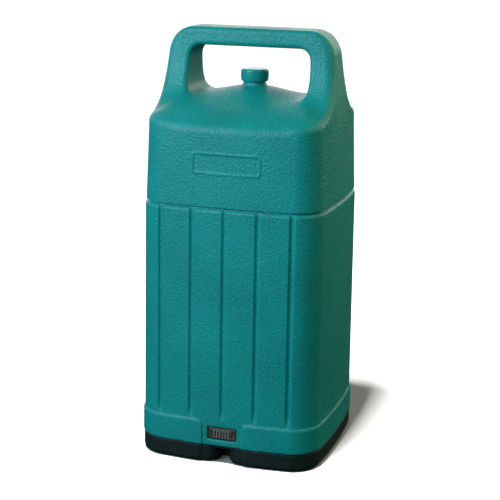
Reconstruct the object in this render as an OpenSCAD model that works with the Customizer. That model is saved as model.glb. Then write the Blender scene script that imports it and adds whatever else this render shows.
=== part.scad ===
// Hard carrying case for a camping lantern: a tall cover with a moulded-in handle
// and a screw cap, latched front and rear onto a shallow base that holds the lantern.
// Frame: origin on the surface it stands on, below the cap's axis; front faces -Y, up is +Z.

/* [Body] */
// Width of the cover across its lower band
body_w = 205; // [198:1:210]
// Depth of the cover, front to rear, across its lower band
body_d = 194; // [188:1:200]
// Radius of the four upright corners
corner_r = 26; // [20:1:34]
// How far the front and rear faces bow outwards
front_bow = 7; // [3:0.5:9]
// How far the two side faces bow outwards
side_bow = 5; // [2:0.5:7]
// Wall of the moulded cover
wall = 3.2; // [2.6:0.1:3.6]

/* [Cover] */
// Height of the cover's lower edge above the ground
cover_z = 20; // [18:0.5:22]
// Top of the proud lower band
band_z = 48; // [46:1:52]
// Height of the groove that runs round the cover
groove_z = 277; // [260:1:290]
// Height of the shoulder's front edge
shoulder_z = 361; // [355:1:365]
// Height of the ridge between the handle's legs
ridge_z = 387; // [384:1:389]
// Distance between the upright grooves in the front and rear faces
plank_pitch = 35.5; // [32:0.5:38]
// Width of an upright groove
plank_groove = 4.4; // [3:0.2:6]

/* [Handle] */
// Top of the handle
handle_z = 455; // [452:1:458]
// Underside of the handle's bar
grip_z = 436; // [434:1:440]
// Half the depth of the handle's bar, front to rear
grip_half_d = 17.5; // [16:0.5:21]
// Half the width of the hand opening at the bar
hand_half_w = 65; // [60:1:66]

/* [Cap] */
// Radius of the screw cap
cap_r = 14.8; // [14:0.1:16]
// Top of the screw cap
cap_z = 412; // [410:0.5:414]
// Radius of the neck that the cap screws onto
neck_r = 11.2; // [10.5:0.1:11.5]

/* [Base] */
// Radius of the socket that takes the fuel cylinder's foot
socket_r = 50.5; // [49:0.1:52]
// Top of the socket ring
socket_z = 40; // [30:1:50]
// Radius of the lobes beside each finger notch
lobe_r = 20.5; // [18:0.5:22]

/* [Latches] */
// Width of a latch button
latch_w = 30.8; // [28:0.2:32]
// Height of a latch button
latch_h = 12.4; // [11:0.2:13]
// How far a latch button travels when it is pressed
latch_travel = 4.5; // [4:0.1:5]

/* [Hidden] */
$fn = 64;
eps = 0.01;
half_w = body_w / 2;
half_d = body_d / 2;

// Inset of the cover's skin from its lower band, as [height, inset].
plank_inset = 1.5;         // just above the band
groove_inset = 2.2;        // just below the groove that runs round
upper_inset = 5.6;         // at the shoulder
groove_d = 2.4;
skin = [[cover_z, 0.6], [cover_z + 1.5, 0], [band_z - 1.8, 0], [band_z + 0.6, plank_inset],
        [groove_z - 4, groove_inset], [groove_z - 1.5, groove_inset + groove_d],
        [groove_z + 1.5, groove_inset + groove_d], [groove_z + 4, groove_inset + 0.8],
        [shoulder_z - 22, upper_inset - 0.8], [shoulder_z - 7, upper_inset]];
base_inset = 0.8;
foot_round = [[0, 5], [1, 3], [2.6, 1.6], [5, base_inset]];

handle_taper = 0.085;      // how fast the handle narrows with height
handle_corner = 26;        // outer radius of the handle's top corners
// How much deeper the handle's legs are at the shoulder, as [extra half depth, height
// over which it falls to a third], for their foot and for the legs themselves.
foot_flare = [20, 7];
leg_flare = [42, 30];
crown_slope = 1.8;         // how much faster the shoulder falls off towards the sides
grip_edge = 8;             // rounding along the top of the bar
hand_taper = 0.1;          // how fast the hand opening widens downwards
hand_foot_r = 24;          // radius at the opening's lower corners
hand_top_r = 9;            // radius at the opening's upper corners

plaque_w = 74;
plaque_h = 22;
plaque_r = 3.5;
plaque_z = 323;            // height of the plaque's middle
plaque_frame = 1.3;        // width of its raised frame
plaque_proud = 0.8;
plaque_t = 3;
plaque_lean = atan((skin[8][1] - skin[7][1]) / (skin[8][0] - skin[7][0]));

dome_r = 46;
dome_rise = 9.6;
neck_bore = 8.8;
neck_top = 407;
neck_foot = ridge_z - 1;
collar_r = 13;
collar_top = 398;
cup_wall = 1.4;
cup_lip = 1;
cap_gap = 0.4;
liner_t = 1.2;
seal_gap = 0.2;

deck_t = 3.5;              // deck and outer wall of the base
floor_t = 5;               // floor under the lantern
well_r = 62;
well_wall = 3;
rim_inset = 5.6;
rim_t = 3;
rim_top = 50;
notch_gap = 3.5;           // half the gap between the two lobes at the back of a notch
notch_y = half_d - 21.5;
socket_wall = 3;
socket_foot_r = 61;
socket_foot_t = 2.5;
socket_screw_at = 57.3;

recess_half_w = 22;        // half the width of the flat in the band round a latch
recess_d = 1.8;
pad_side = 4;              // how far the pad behind the flat runs on beside it
pad_sunk = 0.6;            // pad's face behind the flat, so that the two do not share a face
latch_z = (27.2 + 40.8) / 2;
latch_gap = 0.4;           // between a button and the base's rim
window_gap = 0.6;          // between a button and the cover
latch_face_y = half_d - recess_d - 0.8;
flange_y = half_d - 9.2;
flange_t = 2.5;
flange_over = 3.4;
spring_solid = 5.8;        // length of a latch spring when its button is fully pressed
housing_wall = 2;
housing_y = half_d - 9.6;
housing_back_y = flange_y - flange_t - latch_travel - spring_solid - housing_wall;
housing_play = 0.6;
ear_w = 9.6;
ear_t = 2.5;
ear_h = 12;
seat_r = 3;                // pegs that hold the ends of a spring
seat_h = 2.4;
spring_r = 4.4;
spring_wire = 0.45;
spring_turns = 4;
spring_steps = 14;
ear_screw_x = latch_w / 2 + flange_over + housing_play + housing_wall + ear_w / 2;
screw_r = 1.4;
screw_play = 0.3;
screw_head_r = 2.7;
screw_head_h = 1.6;

function unit(v) = v / norm(v);

// Points of a round corner of radius r at b, coming from a and going on to c.
function corner(a, b, c, r, n = 8) =
    let (u = unit(a - b), v = unit(c - b), half = acos(u * v) / 2,
         o = b + unit(u + v) * r / sin(half),
         s = b + u * r / tan(half) - o, e = b + v * r / tan(half) - o,
         a0 = atan2(s.y, s.x), d = atan2(e.y, e.x) - a0,
         sweep = d > 180 ? d - 360 : d < -180 ? d + 360 : d)
    [for (i = [0:n]) o + r * [cos(a0 + sweep * i / n), sin(a0 + sweep * i / n)]];

// A closed path of [x, y, radius] corners as plain points.
function rounded(path) =
    let (n = len(path))
    [for (i = [0:n - 1])
        let (p = path[i], b = [p.x, p.y], a = path[(i + n - 1) % n], c = path[(i + 1) % n])
        each p[2] > 0 ? corner([a.x, a.y], b, [c.x, c.y], p[2]) : [b]];

// Plan outline of the case, inset from its lower band: a rounded rectangle with bowed sides.
function outline(inset, n_corner = 6, n_side = 8) =
    let (w = half_w - side_bow - inset, d = half_d - front_bow - inset, r = max(corner_r - inset, 3))
    [for (q = [0:3])
        let (sx = q == 0 || q == 3 ? 1 : -1, sy = q < 2 ? 1 : -1,
             o = [sx * (w - r), sy * (d - r)], next = q % 2 == 0 ? [-sx, sy] : [sx, -sy],
             last = o + r * [cos(90 * (q + 1)), sin(90 * (q + 1))],
             far = [next.x * (w - r), next.y * (d - r)] + r * [cos(90 * (q + 1)), sin(90 * (q + 1))])
        each [for (i = [0:n_corner + n_side - 1])
            bow(i < n_corner ? o + r * [cos(90 * (q + i / n_corner)), sin(90 * (q + i / n_corner))]
                             : last + (far - last) * (i - n_corner) / n_side, w, d)]];

function bow(p, w, d) = [p.x + sign(p.x) * side_bow * (1 - pow(p.y / d, 2)),
                         p.y + sign(p.y) * front_bow * (1 - pow(p.x / w, 2))];

function face_y(x, inset) = half_d - inset - front_bow * pow(x / (half_w - side_bow - inset), 2);

// Solid through rings of equal length, lowest first.
module loft(rings) {
    n = len(rings[0]);
    m = len(rings);
    sides = [for (k = [0:m - 2], i = [0:n - 1])
        let (j = (i + 1) % n)
        each [[k * n + i, (k + 1) * n + j, k * n + j], [k * n + i, (k + 1) * n + i, (k + 1) * n + j]]];
    foot = [for (i = [0:n - 1]) i];
    head = [for (i = [n - 1:-1:0]) (m - 1) * n + i];
    polyhedron([for (ring = rings) each ring], concat([foot], sides, [head]));
}

function ring_at(z, inset) = [for (p = outline(inset)) [p.x, p.y, z]];

module plan_prism(z0, z1, inset) {
    translate([0, 0, z0]) linear_extrude(z1 - z0) polygon(outline(inset));
}

// Extrusions of a drawing in the XZ plane along Y, and of one in the YZ plane along X.
module along_y(reach) {
    rotate([90, 0, 0]) linear_extrude(2 * reach, center = true) children();
}

module along_x(reach) {
    rotate([90, 0, 90]) linear_extrude(2 * reach, center = true) children();
}

// ---- Cover ----

function handle_half_w(z) = half_w - upper_inset - handle_taper * (z - shoulder_z);

function leg_half_d(z) = let (rise = z - shoulder_z)
    grip_half_d + foot_flare[0] * exp(-rise / foot_flare[1]) + leg_flare[0] * exp(-rise / leg_flare[1]);

// Height of the shoulder at a distance in from its front or rear edge.
function roof_z(from_edge) = let (reach = half_d - upper_inset)
    shoulder_z + (ridge_z - shoulder_z) * (1 - pow(1 - min(from_edge / reach, 1), 2));

// The right half of an outline, as [x, y] or [x, y, radius] points, with its mirror image.
function mirrored(half) = concat(half, [for (i = [len(half) - 1:-1:0])
    len(half[i]) > 2 ? [-half[i].x, half[i].y, half[i][2]] : [-half[i].x, half[i].y]]);

module front_view(inset) {
    low = shoulder_z - 12;
    top = handle_z - inset;
    half = [[handle_half_w(low) - inset, low, 0],
            [handle_half_w(top) - inset, top, handle_corner - inset]];
    polygon(rounded(mirrored(half)));
}

module hand_opening(outset) {
    top = grip_z + outset;
    low = ridge_z - 9;
    wide_top = hand_half_w + outset;
    wide_low = wide_top + hand_taper * (top - low);
    polygon(rounded([[-wide_low, low, hand_foot_r - outset], [wide_low, low, hand_foot_r - outset],
                     [wide_top, top, hand_top_r + outset], [-wide_top, top, hand_top_r + outset]]));
}

module side_view(inset) {
    steps = 14;
    low = shoulder_z - 3;
    high = handle_z - grip_edge - 4;
    flank = [for (i = [0:steps])
        let (z = low + (high - low) * pow(i / steps, 1.6)) [leg_half_d(z) - inset, z]];
    r = grip_edge - inset;
    top = handle_z - inset;
    side = grip_half_d - inset;
    edge = [for (a = [0:15:90]) [side - r + r * cos(a), top - r + r * sin(a)]];
    polygon(mirrored(concat([[leg_half_d(low) - inset, low - 9]], flank, edge)));
}

// The shoulder in side view, which arches from front to rear.
module roof_view(inset) {
    reach = half_d - upper_inset;
    steps = 12;
    arch = [for (i = [0:steps - 1])
        let (from_edge = reach * i / steps) [reach - from_edge, roof_z(from_edge) - inset]];
    polygon(mirrored(concat([[reach, shoulder_z - 12]], arch)));
}

// The shoulder's limit towards its sides, where it falls off faster.
module crown(inset) {
    skirt = upper_inset + inset;
    reach = 40;
    loft(concat([ring_at(shoulder_z - 12, skirt)],
        [for (from_edge = [0:5:reach])
            ring_at(roof_z(crown_slope * from_edge) - inset, skirt + from_edge)],
        [ring_at(ridge_z + 1, skirt + reach)]));
}

module cover_top(inset) {
    intersection() {
        plan_prism(shoulder_z - 7 - (inset > 0 ? 1 : eps), handle_z + 1, upper_inset + inset);
        along_y(half_d) front_view(inset);
        union() {
            intersection() {
                along_x(half_w) roof_view(inset);
                crown(inset);
            }
            difference() {
                along_x(half_w) side_view(inset);
                along_y(half_d) hand_opening(inset);
            }
        }
    }
}

module dome(inset) {
    top = ridge_z - 1.5 + dome_rise - inset;
    rotate_extrude() polygon(concat([[0, ridge_z - 12], [dome_r - inset, ridge_z - 12]],
        [for (i = [8:-1:0]) [(dome_r - inset) * i / 8, top - dome_rise + dome_rise * cos(90 * i / 8)]]));
}

module cover_outside() {
    loft([for (s = skin) ring_at(s[0], s[1])]);
    cover_top(0);
    dome(0);
    translate([0, 0, neck_foot]) cylinder(r = collar_r, h = collar_top - neck_foot);
    translate([0, 0, neck_foot]) cylinder(r = neck_r, h = neck_top - neck_foot);
}

module cover_inside() {
    loft([for (s = skin) ring_at(s[0] == cover_z ? cover_z - 1 : s[0], s[1] + wall)]);
    cover_top(wall);
    dome(wall);
}

module upright_groove(x, turn) {
    low = band_z - 1;
    high = groove_z - 7;
    y_low = face_y(x, plank_inset);
    y_high = face_y(x, groove_inset);
    lean = atan((y_low - y_high) / (high - low));
    r = plank_groove / 2;
    rotate([0, 0, turn]) translate([x, -y_low, low]) rotate([-lean, 0, 0]) {
        cylinder(r = r, h = high - low, $fn = 24);
        translate([0, 0, high - low]) sphere(r = r, $fn = 24);
    }
}

module plaque_outline(inset) {
    polygon(rounded([for (s = [[-1, -1], [1, -1], [1, 1], [-1, 1]])
        [s.x * (plaque_w / 2 - inset), s.y * (plaque_h / 2 - inset), plaque_r - inset]]));
}

module cover_shell() color("#1d7f78") {
    difference() {
        union() {
            difference() {
                cover_outside();
                cover_inside();
                for (turn = [0, 180]) {
                    for (i = [-2:2]) upright_groove(i * plank_pitch, turn);
                    // Flat in the band round the latch
                    rotate([0, 0, turn]) translate([-recess_half_w, -half_d - 1, cover_z - 1])
                        cube([2 * recess_half_w, recess_d + 1, band_z - cover_z + 3]);
                }
            }
            for (turn = [0, 180]) rotate([0, 0, turn]) {
                // Thick pad behind the flat
                translate([-recess_half_w - pad_side, -half_d + recess_d + pad_sunk, cover_z])
                    cube([2 * (recess_half_w + pad_side), wall - pad_sunk, band_z - cover_z + 2]);
            }
            // Plain framed plaque on the front
            translate([0, plaque_t - plaque_proud - face_y(0, lookup(plaque_z, skin)), plaque_z])
                rotate([90 - plaque_lean, 0, 0]) linear_extrude(plaque_t) difference() {
                    plaque_outline(0);
                    plaque_outline(plaque_frame);
                }
        }
        // Windows for the latch buttons
        for (turn = [0, 180]) rotate([0, 0, turn])
            translate([-latch_w / 2 - window_gap, -half_d - 1, latch_z - latch_h / 2 - window_gap])
                cube([latch_w + 2 * window_gap, 9, latch_h + 2 * window_gap]);
        translate([0, 0, neck_foot - 9]) cylinder(r = neck_bore, h = neck_top - neck_foot + 10);
    }
}

module spares_cup() color("#2a2d2c") {
    r = neck_bore - 0.4;
    low = ridge_z - 4;
    difference() {
        union() {
            translate([0, 0, low]) cylinder(r = r, h = neck_top - low + cup_lip);
            translate([0, 0, neck_top]) cylinder(r = neck_r - 0.4, h = cup_lip);
        }
        translate([0, 0, low + cup_wall]) cylinder(r = r - cup_wall, h = neck_top);
    }
}

module cap_liner() color("#e4e2da") {
    translate([0, 0, neck_top + cup_lip + seal_gap]) cylinder(r = neck_r - 0.2, h = liner_t);
}

module cap() color("#1f8a80") {
    low = collar_top + 0.4;
    roof = neck_top + cup_lip + seal_gap + liner_t;
    edge = 2.2;
    rotate_extrude() polygon(concat(
        [[neck_r + cap_gap, roof], [neck_r + cap_gap, low], [cap_r - 0.5, low], [cap_r, low + 0.8]],
        [for (a = [0:15:90]) [cap_r - edge + edge * cos(a), cap_z - 0.4 - edge + edge * sin(a)]],
        [[0, cap_z], [0, roof]]));
}

// ---- Base ----

// The space cut out of the base between the two lobes of a finger notch.
module notch(inset) {
    difference() {
        translate([-notch_gap - lobe_r, -half_d - 2])
            square([2 * (notch_gap + lobe_r), half_d + 2 - notch_y]);
        for (side = [-1, 1]) translate([side * (notch_gap + lobe_r), -notch_y])
            circle(r = lobe_r - inset);
    }
    translate([-notch_gap - inset, -notch_y - 1]) square([2 * (notch_gap + inset), 1.5 + inset]);
}

module base_tray() color("#1c2421") {
    difference() {
        union() {
            loft(concat([for (s = foot_round) ring_at(s[0], s[1])], [ring_at(cover_z, base_inset)]));
            plan_prism(cover_z - deck_t, rim_top, rim_inset);
        }
        // Space within the upstanding rim
        plan_prism(cover_z, rim_top + 1, rim_inset + rim_t);
        // Finger notches
        for (turn = [0, 180]) rotate([0, 0, turn]) translate([0, 0, -1])
            linear_extrude(cover_z + 1 - eps) notch(0);
        // Hollow underside between the outer wall and the well
        difference() {
            plan_prism(-1, cover_z - deck_t, deck_t + 2);
            cylinder(r = well_r + well_wall, h = cover_z);
            for (turn = [0, 180]) rotate([0, 0, turn]) linear_extrude(cover_z) notch(deck_t);
        }
        // Well for the lantern
        translate([0, 0, floor_t]) cylinder(r = well_r, h = cover_z);
        for (a = [45:90:315]) rotate([0, 0, a]) translate([socket_screw_at, 0, 1])
            cylinder(r = screw_r, h = floor_t);
        for (turn = [0, 180]) rotate([0, 0, turn]) {
            translate([-latch_w / 2 - latch_gap, -half_d, latch_z - latch_h / 2 - latch_gap])
                cube([latch_w + 2 * latch_gap, 12, latch_h + 2 * latch_gap]);
            for (side = [-1, 1]) translate([side * ear_screw_x, -half_d + 2, latch_z])
                rotate([-90, 0, 0]) cylinder(r = screw_r, h = 10, $fn = 24);
        }
    }
}

module socket_ring() color("#242b28") {
    slot_w = 8;
    difference() {
        union() {
            translate([0, 0, floor_t]) cylinder(r = socket_foot_r, h = socket_foot_t);
            translate([0, 0, floor_t]) cylinder(r = socket_r + socket_wall, h = socket_z - floor_t);
        }
        translate([0, 0, floor_t - 1]) cylinder(r = socket_r, h = socket_z);
        for (a = [0, 90]) rotate([0, 0, a]) translate([-socket_foot_r, -slot_w / 2, floor_t + 12])
            cube([2 * socket_foot_r, slot_w, socket_z]);
        for (a = [45:90:315]) rotate([0, 0, a]) translate([socket_screw_at, 0, 0])
            cylinder(r = screw_r + screw_play, h = socket_z);
    }
}

// A pan-head screw that points down, with its head's underside at z = 0.
module screw(length) {
    rotate_extrude() polygon([
        [0, -length], [screw_r - 0.6, -length], [screw_r, -length + 1], [screw_r, 0],
        [screw_head_r, 0], [screw_head_r, screw_head_h * 0.4],
        [screw_head_r * 0.6, screw_head_h], [0, screw_head_h]]);
}

module socket_screws() color("#b9bdbf") {
    for (a = [45:90:315]) rotate([0, 0, a])
        translate([socket_screw_at, 0, floor_t + socket_foot_t]) screw(6);
}

// ---- Latches: drawn at the front, and turned half round for the rear ----

module latch() {
    ribs = 7;
    rib_pitch = 3.2;
    face = [latch_w, latch_face_y - flange_y + 1, latch_h];
    translate([-face.x / 2, -latch_face_y, latch_z - face.z / 2]) cube(face);
    for (i = [0:ribs - 1])
        translate([(i - (ribs - 1) / 2) * rib_pitch - 2, -latch_face_y - 0.6, latch_z - 3.6])
            cube([rib_pitch / 2, 1, 7.2]);
    // The flange reaches less far above and below than beside the button
    translate([-face.x / 2 - flange_over, -flange_y, latch_z - face.z / 2 - flange_over + 1])
        cube([face.x + 2 * flange_over, flange_t, face.z + 2 * flange_over - 2]);
    translate([0, -flange_y + flange_t - eps, latch_z]) rotate([-90, 0, 0])
        cylinder(r = seat_r, h = seat_h);
}

module latch_spring() {
    y0 = -flange_y + flange_t + spring_wire;
    y1 = -housing_back_y - housing_wall - spring_wire;
    n = spring_turns * spring_steps;
    loft_rings = [for (i = [0:n])
        let (a = 360 * i / spring_steps, y = y0 + (y1 - y0) * i / n, radial = [cos(a), 0, sin(a)])
        [for (k = [0:5])
            radial * (spring_r + spring_wire * cos(60 * k)) + [0, y + spring_wire * sin(60 * k), 0]]];
    translate([0, 0, latch_z]) loft(loft_rings);
}

module latch_housing() {
    inner = [latch_w + 2 * (flange_over + housing_play), 0,
             latch_h + 2 * (flange_over - 1 + housing_play)];
    depth = housing_y - housing_back_y;
    difference() {
        union() {
            translate([-inner.x / 2 - housing_wall, -housing_y, latch_z - inner.z / 2 - housing_wall])
                cube([inner.x + 2 * housing_wall, depth, inner.z + 2 * housing_wall]);
            translate([-inner.x / 2 - housing_wall - ear_w, -housing_y, latch_z - ear_h / 2])
                cube([inner.x + 2 * (housing_wall + ear_w), ear_t, ear_h]);
        }
        translate([-inner.x / 2, -housing_y - 1, latch_z - inner.z / 2])
            cube([inner.x, depth - housing_wall + 1, inner.z]);
        for (side = [-1, 1]) translate([side * ear_screw_x, -housing_y - 1, latch_z])
            rotate([-90, 0, 0]) cylinder(r = screw_r + screw_play, h = ear_t + 2, $fn = 24);
    }
    // Its foot runs 0.6 mm into the back wall
    translate([0, 0.6 - housing_back_y - housing_wall - seat_h, latch_z]) rotate([-90, 0, 0])
        cylinder(r = seat_r, h = seat_h);
}

module latch_screws() {
    for (side = [-1, 1]) translate([side * ear_screw_x, -housing_y + ear_t, latch_z])
        rotate([-90, 0, 0]) screw(5.2);
}

module front_latch() color("#262c2a") latch();
module front_latch_spring() color("#c4c8ca") latch_spring();
module front_latch_housing() color("#2f3633") latch_housing();
module front_latch_screws() color("#b9bdbf") latch_screws();
module rear_latch() color("#262c2a") rotate([0, 0, 180]) latch();
module rear_latch_spring() color("#c4c8ca") rotate([0, 0, 180]) latch_spring();
module rear_latch_housing() color("#2f3633") rotate([0, 0, 180]) latch_housing();
module rear_latch_screws() color("#b9bdbf") rotate([0, 0, 180]) latch_screws();

cover_shell();
spares_cup();
cap_liner();
cap();
base_tray();
socket_ring();
socket_screws();
front_latch();
front_latch_spring();
front_latch_housing();
front_latch_screws();
rear_latch();
rear_latch_spring();
rear_latch_housing();
rear_latch_screws();
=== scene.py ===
"""Looks of the lantern carrying case: moulded skins, materials, camera and light."""

import math

import bmesh
import bpy
import numpy as np
import openvdb
from mathutils import Matrix, Vector


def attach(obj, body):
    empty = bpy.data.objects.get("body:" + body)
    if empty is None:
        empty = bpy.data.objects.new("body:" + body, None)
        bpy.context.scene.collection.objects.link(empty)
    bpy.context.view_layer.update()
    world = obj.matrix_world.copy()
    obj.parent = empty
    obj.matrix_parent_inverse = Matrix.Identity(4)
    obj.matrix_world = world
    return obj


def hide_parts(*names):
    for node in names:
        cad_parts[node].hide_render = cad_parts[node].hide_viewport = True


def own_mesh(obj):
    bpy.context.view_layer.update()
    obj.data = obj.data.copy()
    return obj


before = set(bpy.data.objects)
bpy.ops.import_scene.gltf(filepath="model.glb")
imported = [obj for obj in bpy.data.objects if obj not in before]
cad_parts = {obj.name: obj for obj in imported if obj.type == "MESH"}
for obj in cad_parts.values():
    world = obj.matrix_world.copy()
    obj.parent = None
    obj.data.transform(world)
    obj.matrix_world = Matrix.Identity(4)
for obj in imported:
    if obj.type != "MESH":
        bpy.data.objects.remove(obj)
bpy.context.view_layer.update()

MM = 0.001

# Driving sizes of the case, in millimetres. They follow the CAD model, with a softer dome and with a
# thread on the neck.
HALF_W, HALF_D = 102.5, 97.0
CORNER_R, HANDLE_R, HAND_R = 26.0, 26.0, 11.0
FRONT_BOW, SIDE_BOW = 7.0, 5.0
COVER_Z, BAND_Z, GROOVE_Z = 20.0, 48.0, 277.0
SHOULDER_Z, RIDGE_Z = 361.0, 387.0
PLANK_INSET, GROOVE_INSET, UPPER_INSET = 1.5, 2.2, 5.6
PLANK_PITCH = 35.5
HANDLE_Z, GRIP_Z = 455.0, 436.0
GRIP_HALF_D, HAND_HALF_W = 17.5, 65.0
HANDLE_TAPER, HAND_TAPER = 0.085, 0.1
# The handle's legs are this much deeper at the shoulder, and the decay is the height over which
# that falls to a third.
FOOT_FLARE, FOOT_DECAY = 20.0, 7.0
LEG_FLARE, LEG_DECAY = 42.0, 30.0
HAND_FOOT, HAND_FOOT_DECAY = 5.5, 14.0
CROWN_SLOPE = 1.8
DOME_R, DOME_RISE = 58.0, 8.1
COLLAR_R, COLLAR_TOP = 12.3, 398.2
NECK_R, NECK_BORE, NECK_TOP = 11.1, 8.9, 407.0
CAP_R, CAP_Z, THREAD_PITCH = 14.8, 412.0, 4.0
PLAQUE_Z, PLAQUE_W, PLAQUE_H, PLAQUE_R = 323.0, 74.0, 22.0, 3.5
GROOVE_D, UPRIGHT_D, UPRIGHT_HALF_W = 3.0, 2.0, 2.9
RECESS_HALF_W, RECESS_D = 22.0, 1.8
LATCH_Z, LATCH_W, LATCH_H = 34.0, 30.8, 12.4
NOTCH_GAP, LOBE_R, NOTCH_D = 3.5, 20.5, 21.5
BASE_INSET, RIM_INSET, RIM_T, RIM_TOP = 0.8, 5.6, 3.0, 50.0
WELL_R, FLOOR_T = 62.0, 5.0
SOCKET_SCREW_AT, SOCKET_FOOT_T = 57.3, 2.5
FLANGE_Y, FLANGE_T = HALF_D - 9.2, 2.5
HOUSING_Y, EAR_T, EAR_X = HALF_D - 9.6, 2.5, 26.2
SPRING_FIXED_Y = 75.0
# the cover's wall, and what is added above the band to keep the coarse inner face off the skin
WALL, UPPER_WALL = 3.2, 3.0


# ---------------------------------------------------------------- fields
# A field is negative inside a shape, and near its surface it is about the distance in millimetres.


def blend_min(a, b, k):
    """The union of a and b, with a fillet about k wide between them."""
    h = np.clip(0.5 + 0.5 * (b - a) / k, 0, 1)
    return b * (1 - h) + a * h - k * h * (1 - h)


def blend_max(a, b, k):
    return -blend_min(-a, -b, k)


def ramp(x, start, end):
    t = np.clip((x - start) / (end - start), 0, 1)
    return t * t * (3 - 2 * t)


def round_corner(a, b, r):
    """Inside both a and b, with the outer corner between them rounded to radius r."""
    p, q = a + r, b + r
    return np.hypot(np.maximum(p, 0), np.maximum(q, 0)) + np.minimum(np.maximum(p, q), 0) - r


def plan(x, y, inset):
    """The case's plan outline: a rounded rectangle with bowed sides, inset from its lower band."""
    w, d = HALF_W - SIDE_BOW - inset, HALF_D - FRONT_BOW - inset
    ax, ay = np.abs(x), np.abs(y)
    y0 = ay - FRONT_BOW * np.clip(1 - (ax / w) ** 2, 0, 1)
    x0 = ax - SIDE_BOW * np.clip(1 - (y0 / d) ** 2, 0, 1)
    return round_corner(x0 - w, y0 - d, CORNER_R - inset)


def skin_inset(z):
    """Inset of the cover's skin at each height, without its band and grooves."""
    lower = PLANK_INSET + (GROOVE_INSET - PLANK_INSET) * (z - BAND_Z) / (GROOVE_Z - BAND_Z)
    rise = np.clip((z - GROOVE_Z) / (SHOULDER_Z - 7 - GROOVE_Z), 0, 1)
    upper = GROOVE_INSET + 0.7 + (UPPER_INSET - GROOVE_INSET - 0.7) * rise
    return np.where(z > GROOVE_Z, upper, lower)


def handle_outline(x, z):
    """The cover's sides and the handle's top, in front view."""
    side = np.abs(x) - HALF_W + UPPER_INSET + HANDLE_TAPER * (z - SHOULDER_Z)
    return round_corner(side, z - HANDLE_Z, HANDLE_R)


def hand_opening(x, z):
    """The space for the hand, in front view, which narrows at its foot."""
    foot = HAND_FOOT * np.exp(-np.maximum(z - RIDGE_Z, -4) / HAND_FOOT_DECAY)
    half_w = HAND_HALF_W + HAND_TAPER * (GRIP_Z - z) - foot
    return round_corner(np.abs(x) - half_w, z - GRIP_Z, HAND_R)


def legs(x, y, z):
    """The handle in side view, much deeper at its foot than at its bar, less the hand opening."""
    rise = np.maximum(z - SHOULDER_Z, -3)
    foot = FOOT_FLARE * np.exp(-rise / FOOT_DECAY)
    leg = LEG_FLARE * np.exp(-rise / LEG_DECAY)
    slope = foot / FOOT_DECAY + leg / LEG_DECAY
    flank = (np.abs(y) - GRIP_HALF_D - foot - leg) / np.sqrt(1 + slope**2)
    return round_corner(flank, -hand_opening(x, z), 5)


def roof(x, y, z):
    """The shoulder, which rises from front and rear to a ridge, with the dome and collar on it."""
    reach = HALF_D - UPPER_INSET
    rise = RIDGE_Z - SHOULDER_Z
    # it arches from front to rear, and falls off faster towards the sides
    from_edge = blend_min(reach - np.abs(y), -CROWN_SLOPE * plan(x, y, UPPER_INSET), 14)
    t = np.maximum(1 - from_edge / reach, 0)
    slope = rise * 2 * t / reach
    r = np.hypot(x, y)
    dome = DOME_RISE * (1 - ramp(r, 0, DOME_R))
    shoulder = (z - SHOULDER_Z - rise * (1 - t * t) - dome) / np.sqrt(1 + slope * slope)
    collar = round_corner(r - COLLAR_R, z - COLLAR_TOP, 1)
    return blend_min(shoulder, collar, 2.5)


def cover_solid(x, y, z, inset):
    """The cover's outside, as a solid that runs on downwards."""
    sides = blend_max(plan(x, y, inset), handle_outline(x, z), 2)
    top = blend_min(roof(x, y, z), legs(x, y, z), 12)
    edge = 5 + 4 * ramp(z, SHOULDER_Z + 4, SHOULDER_Z + 24) * (1 - ramp(z, GRIP_Z, HANDLE_Z - 4))
    return round_corner(sides, top, edge)


def on_front_or_rear(y):
    return np.abs(y) > HALF_D / 2


def cover_inset(x, y, z):
    """Inset of the cover's skin with its band, ledge and grooves."""
    inset = skin_inset(z)
    # proud band with a rounded ledge, which ends in a round corner beside each latch
    corner = 4.5 * np.clip(1 - (np.abs(x) - RECESS_HALF_W) / 4.5, 0, 1) ** 2
    ledge = BAND_Z - np.where(on_front_or_rear(y), corner, 0)
    beside = ramp(np.abs(x), RECESS_HALF_W - 0.7, RECESS_HALF_W + 0.7)
    flat = np.where(on_front_or_rear(y), 1 - beside, 0)
    band = (1 - ramp(z, ledge - 1.9, ledge + 0.5)) * (1 - flat)
    inset = inset * (1 - band)
    # groove right round: sharp above, and below it a pillowed edge
    fall = np.clip((z - (GROOVE_Z - 4.8)) / 3.8, 0, 1)
    pillow = 1 - np.sqrt(1 - fall**2)
    cut = np.where(z > GROOVE_Z - 1, 1 - ramp(z, GROOVE_Z, GROOVE_Z + 0.8), pillow)
    inset = inset + GROOVE_D * cut
    # upright grooves in the front and rear faces
    nearest = np.clip(np.round(x / PLANK_PITCH), -2, 2) * PLANK_PITCH
    across = np.abs(x - nearest) / UPRIGHT_HALF_W
    along = ramp(z, BAND_Z + 1, BAND_Z + 8) * (1 - ramp(z, GROOVE_Z - 3, GROOVE_Z - 0.5))
    upright = np.clip(1 - across**2, 0, 1) ** 0.8 * along * on_front_or_rear(y)
    return inset + UPRIGHT_D * upright


def plaque(x, y, z):
    """Height of the plain raised frame on the front."""
    d = round_corner(np.abs(x) - PLAQUE_W / 2, np.abs(z - PLAQUE_Z) - PLAQUE_H / 2, PLAQUE_R)
    frame_line = 0.85 * np.clip(1 - ((d + 0.9) / 1.1) ** 2, 0, 1)
    return (frame_line - 0.35 * ramp(-d, 1.4, 2.6)) * (y < 0)


def cavity(x, y, z):
    """The space within the cover."""
    wall = WALL + UPPER_WALL * ramp(z, BAND_Z + 4, BAND_Z + 16)
    space = blend_max(plan(x, y, skin_inset(z)) + wall, roof(x, y, z) + wall, 8)
    return blend_max(space, handle_outline(x, z) + wall, 3)


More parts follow.
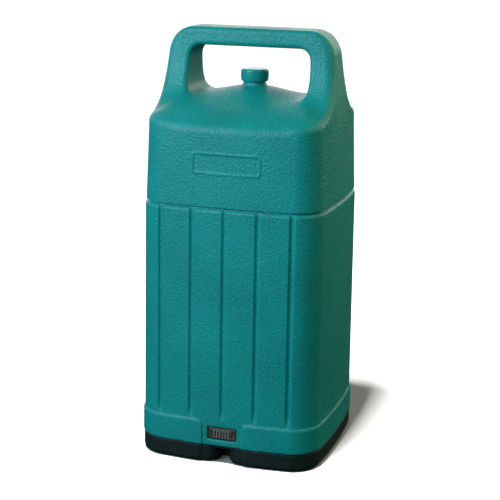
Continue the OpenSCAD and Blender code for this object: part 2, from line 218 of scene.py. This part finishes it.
def cover_field(x, y, z):
    """The cover: a shell, open below, with a window for each latch and a bore up into the neck."""
    outside = cover_solid(x, y, z, cover_inset(x, y, z) - plaque(x, y, z))
    shell = blend_max(outside, -cavity(x, y, z), 0.8)
    shell = blend_max(shell, COVER_Z + 0.05 - z, 1.6)
    window = np.maximum(np.abs(x) - LATCH_W / 2 - 0.7, np.abs(z - LATCH_Z) - LATCH_H / 2 - 0.7)
    shell = blend_max(shell, -np.where(on_front_or_rear(y), window, 50.0), 1.2)
    bore = np.maximum(np.hypot(x, y) - NECK_BORE, np.abs(z - COLLAR_TOP) - 20)
    return np.maximum(shell, -bore)


def notch(x, y):
    """The finger notch between two round lobes, in plan."""
    ay = np.abs(y)
    depth = HALF_D - NOTCH_D
    within = np.abs(x) - NOTCH_GAP - LOBE_R
    lobe = np.hypot(within, np.maximum(ay - depth, 0)) - LOBE_R
    pocket = np.maximum(np.maximum(within, -lobe), depth - 0.5 - ay)
    return blend_min(pocket, np.maximum(np.abs(x) - NOTCH_GAP, depth - 1 - ay), 1.5)


def base_field(x, y, z):
    """The tray: outer wall with notches, deck, well, upstanding rim and hollow underside."""
    beside = ramp(np.abs(x), RECESS_HALF_W - 1.5, RECESS_HALF_W + 4.5)
    flat = 1.9 * (1 - beside) * on_front_or_rear(y)
    outer = plan(x, y, BASE_INSET + flat)
    outer = blend_max(outer, -notch(x, y), 3)
    body = round_corner(outer, -z, 5.5)
    body = blend_max(body, z - COVER_Z + 0.3, 1.2)
    rim = np.maximum(plan(x, y, RIM_INSET), -plan(x, y, RIM_INSET) - RIM_T)
    rim = blend_max(rim, z - RIM_TOP, 1.6)
    rim = np.maximum(rim, COVER_Z - 4 - z)
    latch_hole = np.maximum(np.abs(x) - LATCH_W / 2 - 0.4, np.abs(z - LATCH_Z) - LATCH_H / 2 - 0.4)
    rim = blend_max(rim, -latch_hole, 0.8)
    tray = blend_min(body, rim, 1.2)
    r = np.hypot(x, y)
    well = blend_max(r - WELL_R, FLOOR_T - z, 2)
    # hollow underside between the outer wall and the well
    hollow = np.maximum(plan(x, y, 5.5), WELL_R + 3 - r)
    hollow = np.maximum(np.maximum(hollow, 3.5 - notch(x, y)), z - COVER_Z + 3.5)
    return blend_max(blend_max(tray, -well, 1.5), -hollow, 0.8)


def rounded_box(x, y, z, half, r):
    """A box about the origin with half sizes half and all its edges rounded."""
    a, b, c = np.abs(x) - half[0] + r, np.abs(y) - half[1] + r, np.abs(z) - half[2] + r
    out = np.sqrt(np.maximum(a, 0) ** 2 + np.maximum(b, 0) ** 2 + np.maximum(c, 0) ** 2)
    return out + np.minimum(np.maximum(np.maximum(a, b), c), 0) - r


def latch_field(x, y, z):
    """The front latch button: a ribbed face on a flanged foot, with a peg for its spring."""
    face_y = HALF_D - RECESS_D - 0.8
    mid = (face_y + FLANGE_Y) / 2 - 0.6
    block = rounded_box(x, y + mid, z, (LATCH_W / 2, face_y - mid, LATCH_H / 2), 0.9)
    foot_half = (LATCH_W / 2 + 3.4, FLANGE_T / 2, LATCH_H / 2 + 2.4)
    foot = rounded_box(x, y + FLANGE_Y - FLANGE_T / 2, z, foot_half, 0.5)
    rib = rounded_box((x + 1.2 + 1.6) % 3.2 - 1.6, y + face_y, z, (0.8, 0.6, 3.8), 0.45)
    ribs = np.maximum(rib, np.abs(x + 1.2) - 9.6)
    dish = 0.7 * (1 - ramp(np.hypot((x - 12.4) / 1.9, z / 4.6), 0.5, 1.0))
    peg_end = -FLANGE_Y + FLANGE_T + 2.4
    peg = round_corner(np.hypot(x, z) - 3, np.abs(y - peg_end + 2.4) - 2.4, 0.5)
    button = blend_min(np.minimum(block, foot), ribs, 0.5)
    return np.minimum(button + dish * (y < -face_y + 1.5), peg)


def screw_field(x, y, z, length):
    """A pan-head screw that points down, with a cross recess in its head."""
    r = np.hypot(x, y)
    head = round_corner(r - 2.7, np.abs(z - 0.8) - 0.8, 0.7)
    shank = round_corner(r - 1.38, np.abs(z + length / 2) - length / 2, 0.6)
    ax, ay = np.abs(x), np.abs(y)
    cross = np.minimum(np.maximum(ax - 0.4, ay - 1.5), np.maximum(ay - 0.4, ax - 1.5))
    recess = np.maximum(cross, 0.7 - z)
    return blend_max(np.minimum(head, shank), -recess, 0.15)


# ---------------------------------------------------------------- meshes


def axis_points(stops):
    """Grid stops from [(start, step), ..., (end, None)], with each stretch divided evenly."""
    points = []
    for (a, step), (b, _) in zip(stops[:-1], stops[1:]):
        n = max(1, round((b - a) / step))
        points += [a + (b - a) * i / n for i in range(n)]
    return np.array(points + [stops[-1][0]])


def mirrored(stops):
    """The same stops on both sides of 0, given for the positive side."""
    half = axis_points(stops)
    return np.concatenate([-half[:0:-1], half])


def settle(field, points, rounds=5):
    """Moves points onto the field's zero surface along its gradient."""
    step = 0.04
    p = points.copy()
    for _ in range(rounds):
        f = field(p[:, 0], p[:, 1], p[:, 2])
        grad = np.empty_like(p)
        for axis in range(3):
            hi, lo = p.copy(), p.copy()
            hi[:, axis] += step
            lo[:, axis] -= step
            grad[:, axis] = (field(*hi.T) - field(*lo.T)) / (2 * step)
        size = np.maximum((grad**2).sum(1), 0.2)
        move = -grad * (f / size)[:, None]
        reach = np.linalg.norm(move, axis=1)
        move *= np.minimum(1, 0.5 / np.maximum(reach, 1e-9))[:, None]
        p += move
    return p


def field_surface(field, xs, ys, zs):
    """Points and quads on the field's zero surface, from samples on the grid of xs, ys and zs."""
    axes = (xs, ys, zs)
    values = field(xs[:, None, None], ys[None, :, None], zs[None, None, :])
    values = np.broadcast_to(values, [len(axis) for axis in axes])
    values = np.ascontiguousarray(values, dtype=np.float32)
    grid = openvdb.FloatGrid(10.0)
    grid.copyFromArray(values)
    points, quads = grid.convertToQuads(0.0)
    # from grid steps to millimetres
    columns = points.astype(float).T
    points = np.stack([np.interp(c, np.arange(len(a)), a) for c, a in zip(columns, axes)], 1)
    return settle(field, points), quads[:, ::-1]


def add_mesh(name, points, faces):
    """A smooth-shaded object from points in millimetres."""
    mesh = bpy.data.meshes.new(name)
    mesh.from_pydata((np.asarray(points) * MM).tolist(), [], [list(face) for face in faces])
    mesh.update()
    mesh.polygons.foreach_set("use_smooth", [True] * len(mesh.polygons))
    obj = bpy.data.objects.new(name, mesh)
    bpy.context.scene.collection.objects.link(obj)
    return obj


def skin_mesh(name, field, xs, ys, zs):
    points, quads = field_surface(field, xs, ys, zs)
    return add_mesh(name, points, quads.tolist())


def thin_out(obj, hidden):
    """Merges seven in ten of the faces where the points in hidden are."""
    group = obj.vertex_groups.new(name="hidden")
    group.add(np.flatnonzero(hidden).tolist(), 1.0, "REPLACE")
    decimate = obj.modifiers.new("thin", "DECIMATE")
    decimate.ratio = 1 - 0.7 * hidden.mean()
    decimate.vertex_group = "hidden"
    decimate.vertex_group_factor = 10
    thinned = obj.evaluated_get(bpy.context.evaluated_depsgraph_get())
    baked = bpy.data.meshes.new_from_object(thinned)
    obj.modifiers.clear()
    obj.vertex_groups.clear()
    obj.data = baked


def lathe(name, profile, segments=96):
    """A solid turned about Z from [radius, height] points that start and end on the axis."""
    rings = profile[1:-1]
    points = [(0, 0, profile[0][1])]
    for r, z in rings:
        for i in range(segments):
            a = 2 * math.pi * i / segments
            points.append((r * math.cos(a), r * math.sin(a), z))
    points.append((0, 0, profile[-1][1]))
    return add_mesh(name, points, tube_faces(len(rings), segments))


def tube_faces(rings, segments):
    """Faces of rings of points, lowest first, closed by fans on a first and a last point."""
    faces = []
    last = 1 + rings * segments
    for i in range(segments):
        j = (i + 1) % segments
        faces.append((0, 1 + j, 1 + i))
        faces.append((last, last - segments + i, last - segments + j))
        for k in range(rings - 1):
            low, high = 1 + k * segments, 1 + (k + 1) * segments
            faces.append((low + i, low + j, high + j, high + i))
    return faces


def arc(cx, cz, r, start, end, steps=6):
    """Points of a round edge in a lathe's profile, with angles in degrees."""
    angles = [math.radians(start + (end - start) * i / steps) for i in range(steps + 1)]
    return [(cx + r * math.cos(a), cz + r * math.sin(a)) for a in angles]


def transformed(obj, matrix):
    obj.data.transform(matrix)
    obj.data.update()
    return obj


def join(name, pieces):
    """One object from the meshes of several, which must be untransformed."""
    mesh = bmesh.new()
    for piece in pieces:
        mesh.from_mesh(piece.data)
        bpy.data.objects.remove(piece)
    data = bpy.data.meshes.new(name)
    mesh.to_mesh(data)
    mesh.free()
    obj = bpy.data.objects.new(name, data)
    bpy.context.scene.collection.objects.link(obj)
    return obj


# ---------------------------------------------------------------- pieces


def make_cover():
    """The cover, sampled finely where it has detail, with its hidden inner wall thinned out."""
    xs = mirrored([(0, 0.8), (4, 1.8), (13, 1.2), (19, 0.8), (25, 2.4), (31, 0.8), (40, 3),
                   (66, 0.8), (76, 1.9), (104, None)])
    ys = mirrored([(0, 2.2), (8, 1.8), (26, 3.4), (70, 2.1), (86, 1.6), (99, None)])
    zs = axis_points([(17, 1.4), (52, 12), (268, 0.8), (282, 6), (308, 1.2), (338, 2.8), (352, 2),
                      (398, 3.4), (430, 1.7), (457, None)])
    cover = skin_mesh("cover", cover_field, xs, ys, zs)
    points = np.empty(len(cover.data.vertices) * 3)
    cover.data.vertices.foreach_get("co", points)
    x, y, z = points.reshape(-1, 3).T / MM
    thin_out(cover, (np.abs(cavity(x, y, z)) < 0.3) & (z > BAND_Z + 16))
    return cover


def make_neck():
    """The neck that the cap screws onto, with a raised thread: a tube that closes on itself."""
    segments, low, rise = 96, COLLAR_TOP - 1, 0.25
    heights = np.arange(low, NECK_TOP - 0.4, rise)
    points = []
    for z in heights:
        for i in range(segments):
            turn = i / segments
            phase = ((z - COLLAR_TOP) / THREAD_PITCH - turn) % 1
            fade = min(1, max(0, (z - COLLAR_TOP - 0.6) / 0.8), max(0, (NECK_TOP - 0.9 - z) / 0.8))
            r = NECK_R - 0.75 + 0.75 * fade * max(0, 1 - abs(phase - 0.5) / 0.22) ** 0.6
            a = 2 * math.pi * turn
            points.append((r * math.cos(a), r * math.sin(a), z))
    rim = [(NECK_R - 1, NECK_TOP), (NECK_BORE + 0.3, NECK_TOP), (NECK_BORE, NECK_TOP - 0.3)]
    inner = [*rim, (NECK_BORE, low + 0.1)]
    for r, z in inner:
        for i in range(segments):
            a = 2 * math.pi * i / segments
            points.append((r * math.cos(a), r * math.sin(a), z))
    rings = len(heights) + len(inner)
    faces = []
    for k in range(rings):
        here, there = k * segments, (k + 1) % rings * segments
        for i in range(segments):
            j = (i + 1) % segments
            faces.append((here + i, here + j, there + j, there + i))
    return add_mesh("neck", points, faces)


def make_cap():
    """The screw cap: a smooth skirt with a rounded top and a soft lower edge."""
    low, ceiling = COLLAR_TOP + 0.3, NECK_TOP + 2.4
    bore = NECK_R + 0.5
    profile = [(0, ceiling), (bore - 1, ceiling), *arc(bore - 1, ceiling - 1, 1, 90, 0, 3)]
    profile += [(bore, low + 0.6), *arc(bore + 0.6, low + 0.6, 0.6, 180, 270, 4)]
    profile += arc(CAP_R - 1.9, low + 1.5, 1.5, 270, 350, 5)
    profile += [(CAP_R - 0.25, low + 3.2), (CAP_R, low + 3.9), (CAP_R, CAP_Z - 4)]
    profile += arc(CAP_R - 2.4, CAP_Z - 2.75, 2.4, 0, 82, 7)
    profile += [(CAP_R - 5, CAP_Z - 0.22), (CAP_R * 0.35, CAP_Z - 0.05), (0, CAP_Z)]
    return lathe("screw_cap", profile)


def make_base():
    """The tray that the cover stands on."""
    xs = mirrored([(0, 1.2), (32, 1.7), (88, 1.4), (104, None)])
    ys = mirrored([(0, 1.8), (66, 1.2), (99, None)])
    zs = axis_points([(-3, 1), (24, 2), (48, 1), (54, None)])
    return skin_mesh("base", base_field, xs, ys, zs)


def make_latch(name, turn):
    """A latch button, turned to the front or the rear."""
    xs, ys = mirrored([(0, 0.4), (20, None)]), axis_points([(-96, 0.4), (-80, None)])
    zs = mirrored([(0, 0.4), (10, None)])
    button = skin_mesh(name, latch_field, xs, ys, zs)
    return transformed(button, turn @ Matrix.Translation((0, 0, LATCH_Z * MM)))


def make_spring(name, turn):
    """A compression spring with closed ends, between the button's foot and the housing's back."""
    start, end = -FLANGE_Y + FLANGE_T, -SPRING_FIXED_Y
    wire, radius, turns, steps, sides = 0.45, 4.4, 5.5, 28, 10
    count = round(turns * steps)
    points = []
    for n in range(count + 1):
        t = n / steps
        # the first and last turns rise by only a wire's thickness
        climb = 2 * wire * min(t, 1) + 2 * wire * max(0, t - turns + 1)
        free = end - start - 6 * wire
        y = start + wire + climb + free * min(1, max(0, (t - 1) / (turns - 2)))
        a = 2 * math.pi * t
        for k in range(sides):
            b = 2 * math.pi * k / sides
            r = radius + wire * math.cos(b)
            points.append((r * math.cos(a), y + wire * math.sin(b), r * math.sin(a)))
    first, last = np.mean(points[:sides], 0), np.mean(points[-sides:], 0)
    spring = add_mesh(name, [first, *points, last], tube_faces(count + 1, sides))
    return transformed(spring, turn @ Matrix.Translation((0, 0, LATCH_Z * MM)))


def make_screw(length):
    across = mirrored([(0, 0.22), (3.2, None)])
    along = axis_points([(-length - 0.6, 0.5), (-0.4, 0.2), (2, None)])
    return skin_mesh("screw", lambda x, y, z: screw_field(x, y, z, length), across, across, along)


def make_screws(name, length, places):
    """Copies of one screw, each turned and moved by its own matrix."""
    pattern = make_screw(length)
    copies = []
    for place in places:
        copy = pattern.copy()
        copy.data = pattern.data.copy()
        copies.append(transformed(copy, place))
    bpy.data.objects.remove(pattern)
    screws = join(name, copies)
    screws.data.polygons.foreach_set("use_smooth", [True] * len(screws.data.polygons))
    return screws


# ---------------------------------------------------------------- materials


def new_material(name):
    mat = bpy.data.materials.new(name)
    mat.use_nodes = True
    tree = mat.node_tree
    return mat, tree, tree.nodes["Principled BSDF"]


def add_node(tree, kind, inputs=None, **settings):
    """A node with its settings and plain input values, and links where a value is a socket."""
    node = tree.nodes.new(kind)
    for key, value in settings.items():
        setattr(node, key, value)
    for key, value in (inputs or {}).items():
        if isinstance(value, bpy.types.NodeSocket):
            tree.links.new(value, node.inputs[key])
        else:
            node.inputs[key].default_value = value
    return node


def map_range(tree, value, from_range, to_range):
    inputs = {"Value": value, "From Min": from_range[0], "From Max": from_range[1],
              "To Min": to_range[0], "To Max": to_range[1]}
    return add_node(tree, "ShaderNodeMapRange", inputs).outputs["Result"]


def mix_colour(tree, share, a, b):
    """Colour a where share is 0, and b where it is 1."""
    node = add_node(tree, "ShaderNodeMix", {0: share, 6: a, 7: b}, data_type="RGBA")
    return node.outputs[2]


def noise(tree, place, scale, detail, roughness=0.5):
    settings = {"Vector": place, "Scale": scale, "Detail": detail, "Roughness": roughness}
    return add_node(tree, "ShaderNodeTexNoise", settings).outputs["Fac"]


def set_bump(tree, shader, height, distance_mm):
    bump = add_node(tree, "ShaderNodeBump", {"Height": height, "Distance": distance_mm * MM})
    tree.links.new(bump.outputs["Normal"], shader.inputs["Normal"])


def multiplied(tree, a, b):
    return add_node(tree, "ShaderNodeMath", {0: a, 1: b}, operation="MULTIPLY").outputs[0]


def moulded(name, dark, light, worn_and_highlight, rough, grain_mm, grain_depth, specular=0.5):
    """Moulded plastic: mottled colour, pebble grain, and edges paled by wear and painted highlight.
    """
    mat, tree, shader = new_material(name)
    place = add_node(tree, "ShaderNodeTexCoord").outputs["Object"]
    broad = noise(tree, place, 14, 5)
    pebble = noise(tree, place, 500 / grain_mm, 2.5, 0.6)
    cells = add_node(
        tree, "ShaderNodeTexVoronoi", {"Vector": place, "Scale": 700 / grain_mm, "Smoothness": 0.6},
        feature="SMOOTH_F1",
    ).outputs["Distance"]
    tone = add_node(tree, "ShaderNodeMath", {0: broad, 1: pebble}, operation="ADD").outputs[0]
    colour = mix_colour(tree, map_range(tree, tone, (0.7, 1.3), (0, 1)), (*dark, 1), (*light, 1))
    # painted highlight: convex edges and bevels are mixed towards the paler edge colour, partly as
    # rubbed wear and partly as the light they catch
    bend = add_node(tree, "ShaderNodeNewGeometry").outputs["Pointiness"]
    colour = mix_colour(tree, map_range(tree, bend, (0.53, 0.61), (0, 0.6)), colour, (*worn_and_highlight, 1))
    tree.links.new(colour, shader.inputs["Base Color"])
    height = add_node(tree, "ShaderNodeMath", {0: pebble, 1: cells}, operation="SUBTRACT")
    set_bump(tree, shader, height.outputs[0], grain_depth)
    gloss = map_range(tree, tone, (0.6, 1.4), (rough + 0.07, rough - 0.07))
    tree.links.new(gloss, shader.inputs["Roughness"])
    shader.inputs["Specular IOR Level"].default_value = specular
    return mat


def foam():
    """Pale closed-cell foam."""
    mat, tree, shader = new_material("liner_foam")
    place = add_node(tree, "ShaderNodeTexCoord").outputs["Object"]
    voronoi = add_node(tree, "ShaderNodeTexVoronoi", {"Vector": place, "Scale": 2600})
    cells = voronoi.outputs["Distance"]
    share = map_range(tree, cells, (0.1, 0.7), (0, 1))
    colour = mix_colour(tree, share, (0.45, 0.42, 0.36, 1), (0.78, 0.76, 0.7, 1))
    tree.links.new(colour, shader.inputs["Base Color"])
    set_bump(tree, shader, cells, 0.15)
    shader.inputs["Roughness"].default_value = 0.9
    return mat


def plated_steel():
    """Zinc-plated steel: a fine grain and patches of duller plating."""
    mat, tree, shader = new_material("plated_steel")
    place = add_node(tree, "ShaderNodeTexCoord").outputs["Object"]
    patch = noise(tree, place, 260, 4)
    share = map_range(tree, patch, (0.35, 0.65), (0, 1))
    colour = mix_colour(tree, share, (0.42, 0.43, 0.44, 1), (0.66, 0.66, 0.65, 1))
    tree.links.new(colour, shader.inputs["Base Color"])
    set_bump(tree, shader, noise(tree, place, 2400, 2), 0.02)
    tree.links.new(map_range(tree, patch, (0.3, 0.7), (0.26, 0.42)), shader.inputs["Roughness"])
    shader.inputs["Metallic"].default_value = 1
    return mat


def set_material(obj, mat):
    obj.data.materials.clear()
    obj.data.materials.append(mat)


# ---------------------------------------------------------------- camera, light and floor


def make_camera():
    """The camera, which looks down at the case from the front right."""
    azimuth, elevation, roll = math.radians(17.7), math.radians(12.6), math.radians(-0.93)
    target, distance = Vector((0, 0, 0.25)), 1.481
    flat = Vector((math.sin(azimuth), -math.cos(azimuth), 0)) * math.cos(elevation)
    back = flat + Vector((0, 0, math.sin(elevation)))
    data = bpy.data.cameras.new("camera")
    data.lens = 98.06
    data.sensor_width = 36
    data.shift_x = -0.0051
    data.shift_y = -0.0662
    data.clip_start = 0.01
    camera = bpy.data.objects.new("camera", data)
    bpy.context.scene.collection.objects.link(camera)
    turn = back.to_track_quat("Z", "Y").to_matrix() @ Matrix.Rotation(-roll, 3, "Z")
    camera.matrix_world = Matrix.Translation(target + back * distance) @ turn.to_4x4()
    bpy.context.scene.camera = camera


def area_light(name, place, target, size, power, colour=(1, 1, 1)):
    """A rectangular light at place that points at target."""
    data = bpy.data.lights.new(name, "AREA")
    data.shape = "RECTANGLE"
    data.size, data.size_y = size
    data.energy = power
    data.color = colour
    light = bpy.data.objects.new(name, data)
    bpy.context.scene.collection.objects.link(light)
    light.location = place
    light.rotation_euler = (Vector(target) - Vector(place)).to_track_quat("-Z", "Y").to_euler()
    return light


def make_floor():
    """A pale floor that is lit where the case stands and glows evenly further out."""
    reach = 40.0
    mesh = bpy.data.meshes.new("floor")
    corners = [(-reach, -reach, 0), (reach, -reach, 0), (reach, reach, 0), (-reach, reach, 0)]
    mesh.from_pydata(corners, [], [(0, 1, 2, 3)])
    floor = bpy.data.objects.new("floor", mesh)
    bpy.context.scene.collection.objects.link(floor)
    mat, tree, shader = new_material("floor")
    place = add_node(tree, "ShaderNodeTexCoord").outputs["Object"]
    distance = add_node(tree, "ShaderNodeVectorMath", {0: place}, operation="LENGTH")
    glow = map_range(tree, distance.outputs["Value"], (0.25, 1.4), (0.03, 0.9))
    tree.links.new(glow, shader.inputs["Emission Strength"])
    shader.inputs["Emission Color"].default_value = (1, 1, 1, 1)
    shader.inputs["Base Color"].default_value = (0.25, 0.25, 0.25, 1)
    shader.inputs["Roughness"].default_value = 1
    shader.inputs["Specular IOR Level"].default_value = 0
    set_material(floor, mat)
    floor.visible_diffuse = False
    floor.visible_glossy = False
    return floor


def make_world():
    """A pale studio: dark below the horizon, brightest just above it."""
    world = bpy.data.worlds.new("studio")
    bpy.context.scene.world = world
    world.use_nodes = True
    tree = world.node_tree
    direction = add_node(tree, "ShaderNodeTexCoord").outputs["Generated"]
    across, along, height = add_node(tree, "ShaderNodeSeparateXYZ", {0: direction}).outputs
    ramp_node = add_node(tree, "ShaderNodeValToRGB", {0: map_range(tree, height, (-1, 1), (0, 1))})
    stops = ramp_node.color_ramp.elements
    stops[0].position, stops[1].position = 0.49, 1.0
    stops[0].color, stops[1].color = (0.02, 0.02, 0.02, 1), (0.2, 0.2, 0.2, 1)
    stops.new(0.58).color = (0.56, 0.57, 0.58, 1)
    stops.new(0.75).color = (0.3, 0.3, 0.31, 1)
    # a warm tint on the right, above the horizon
    above = map_range(tree, height, (-0.02, 0.15), (0, 0.7))
    right = multiplied(tree, map_range(tree, across, (0.2, 0.9), (0, 1)), above)
    colour = mix_colour(tree, right, ramp_node.outputs["Color"], (0.36, 0.34, 0.2, 1))
    # a bright wall behind the case
    foot = map_range(tree, height, (-0.02, 0.05), (0, 1))
    behind = multiplied(tree, map_range(tree, along, (0.3, 0.9), (0, 1)), foot)
    behind = multiplied(tree, behind, map_range(tree, height, (0.3, 0.7), (1, 0)))
    colour = mix_colour(tree, behind, colour, (2.4, 2.4, 2.25, 1))
    # a weak glow from the ground at the front left
    inputs = {0: direction, 1: (-0.62, -0.75, -0.22)}
    toward = add_node(tree, "ShaderNodeVectorMath", inputs, operation="DOT_PRODUCT")
    glow = map_range(tree, toward.outputs["Value"], (0.8, 0.98), (0, 1))
    colour = mix_colour(tree, glow, colour, (0.3, 0.35, 0.37, 1))
    tree.links.new(colour, tree.nodes["Background"].inputs["Color"])


def make_stage():
    """Floor, surroundings and lights."""
    floor = make_floor()
    make_world()
    # the shade light reaches only the floor, and gives the soft shadow behind the case
    only_floor = bpy.data.collections.new("floor_only")
    only_floor.objects.link(floor)
    shade = area_light("shade", (-0.06, -0.72, 2.5), (-0.08, -0.3, 0), (0.32, 0.32), 470)
    shade.light_linking.receiver_collection = only_floor
    area_light("key", (-0.55, -0.94, 0.8), (-0.05, 0, 0.4), (0.8, 0.6), 15.0, (0.68, 0.84, 1))
    area_light("fill", (0.8, 0.06, 0.88), (0.1, 0, 0.38), (0.6, 0.6), 2.8, (1, 0.9, 0.4))
    bpy.context.scene.view_settings.view_transform = "Standard"


# ---------------------------------------------------------------- the case


def put(piece, material, body, slot, *nodes):
    """Finishes a piece, which rides on a body and may stand for CAD nodes."""
    set_material(piece, material)
    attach(piece, body)
    if nodes:
        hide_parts(*nodes)


make_camera()
make_stage()

# colours of each plastic: dark, light, and an edge colour for wear and painted highlight
GREEN = (0.001, 0.205, 0.19), (0.003, 0.285, 0.265), (0.09, 0.52, 0.52)
BLACK = (0.003, 0.012, 0.009), (0.009, 0.022, 0.017), (0.04, 0.06, 0.05)
NYLON = (0.02, 0.021, 0.017), (0.05, 0.052, 0.042), (0.4, 0.4, 0.33)
CHARCOAL = (0.012, 0.016, 0.014), (0.028, 0.033, 0.03), (0.07, 0.08, 0.075)
SHELL = moulded("shell_green", *GREEN, rough=0.42, grain_mm=1.3, grain_depth=0.4, specular=0.25)
CAP = moulded("cap_green", *GREEN, rough=0.3, grain_mm=1.2, grain_depth=0.05, specular=0.45)
BASE = moulded("base_black", *BLACK, rough=0.5, grain_mm=1.3, grain_depth=0.3, specular=0.2)
BUTTON = moulded("latch_black", *NYLON, rough=0.4, grain_mm=0.8, grain_depth=0.05)
DARK = moulded("dark_moulding", *CHARCOAL, rough=0.46, grain_mm=1.0, grain_depth=0.08)
FOAM = foam()
STEEL = plated_steel()

put(make_cover(), SHELL, "cover", "shell_green", "cover_shell")
put(make_neck(), CAP, "cover", "shell_green")
put(make_cap(), CAP, "cap", "cap_green", "cap")
put(make_base(), BASE, "base", "base_black", "base_tray")

seat = Matrix.Translation((SOCKET_SCREW_AT * MM, 0, (FLOOR_T + SOCKET_FOOT_T) * MM))
ring = [Matrix.Rotation(math.radians(a), 4, "Z") @ seat for a in (45, 135, 225, 315)]
socket_screws = make_screws("socket_screw_set", 6, ring)
put(socket_screws, STEEL, "base", "steel", "socket_screws")

for side, angle in (("front", 0), ("rear", math.pi)):
    turn = Matrix.Rotation(angle, 4, "Z")
    put(make_latch(side + "_button", turn), BUTTON, side + "_latch", "latch_black", side + "_latch")
    ears = []
    for x in (-EAR_X, EAR_X):
        ear = Matrix.Translation((x * MM, (EAR_T - HOUSING_Y) * MM, LATCH_Z * MM))
        ears.append(turn @ ear @ Matrix.Rotation(-math.pi / 2, 4, "X"))
    screws = make_screws(side + "_screw_pair", 5.2, ears)
    put(screws, STEEL, "base", "steel", side + "_latch_screws")
    spring = make_spring(side + "_spring", turn)
    put(spring, STEEL, "base", "steel", side + "_latch_spring")
    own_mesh(spring)

for node in ("spares_cup", "socket_ring", "front_latch_housing", "rear_latch_housing"):
    set_material(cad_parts[node], DARK)
set_material(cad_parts["cap_liner"], FOAM)
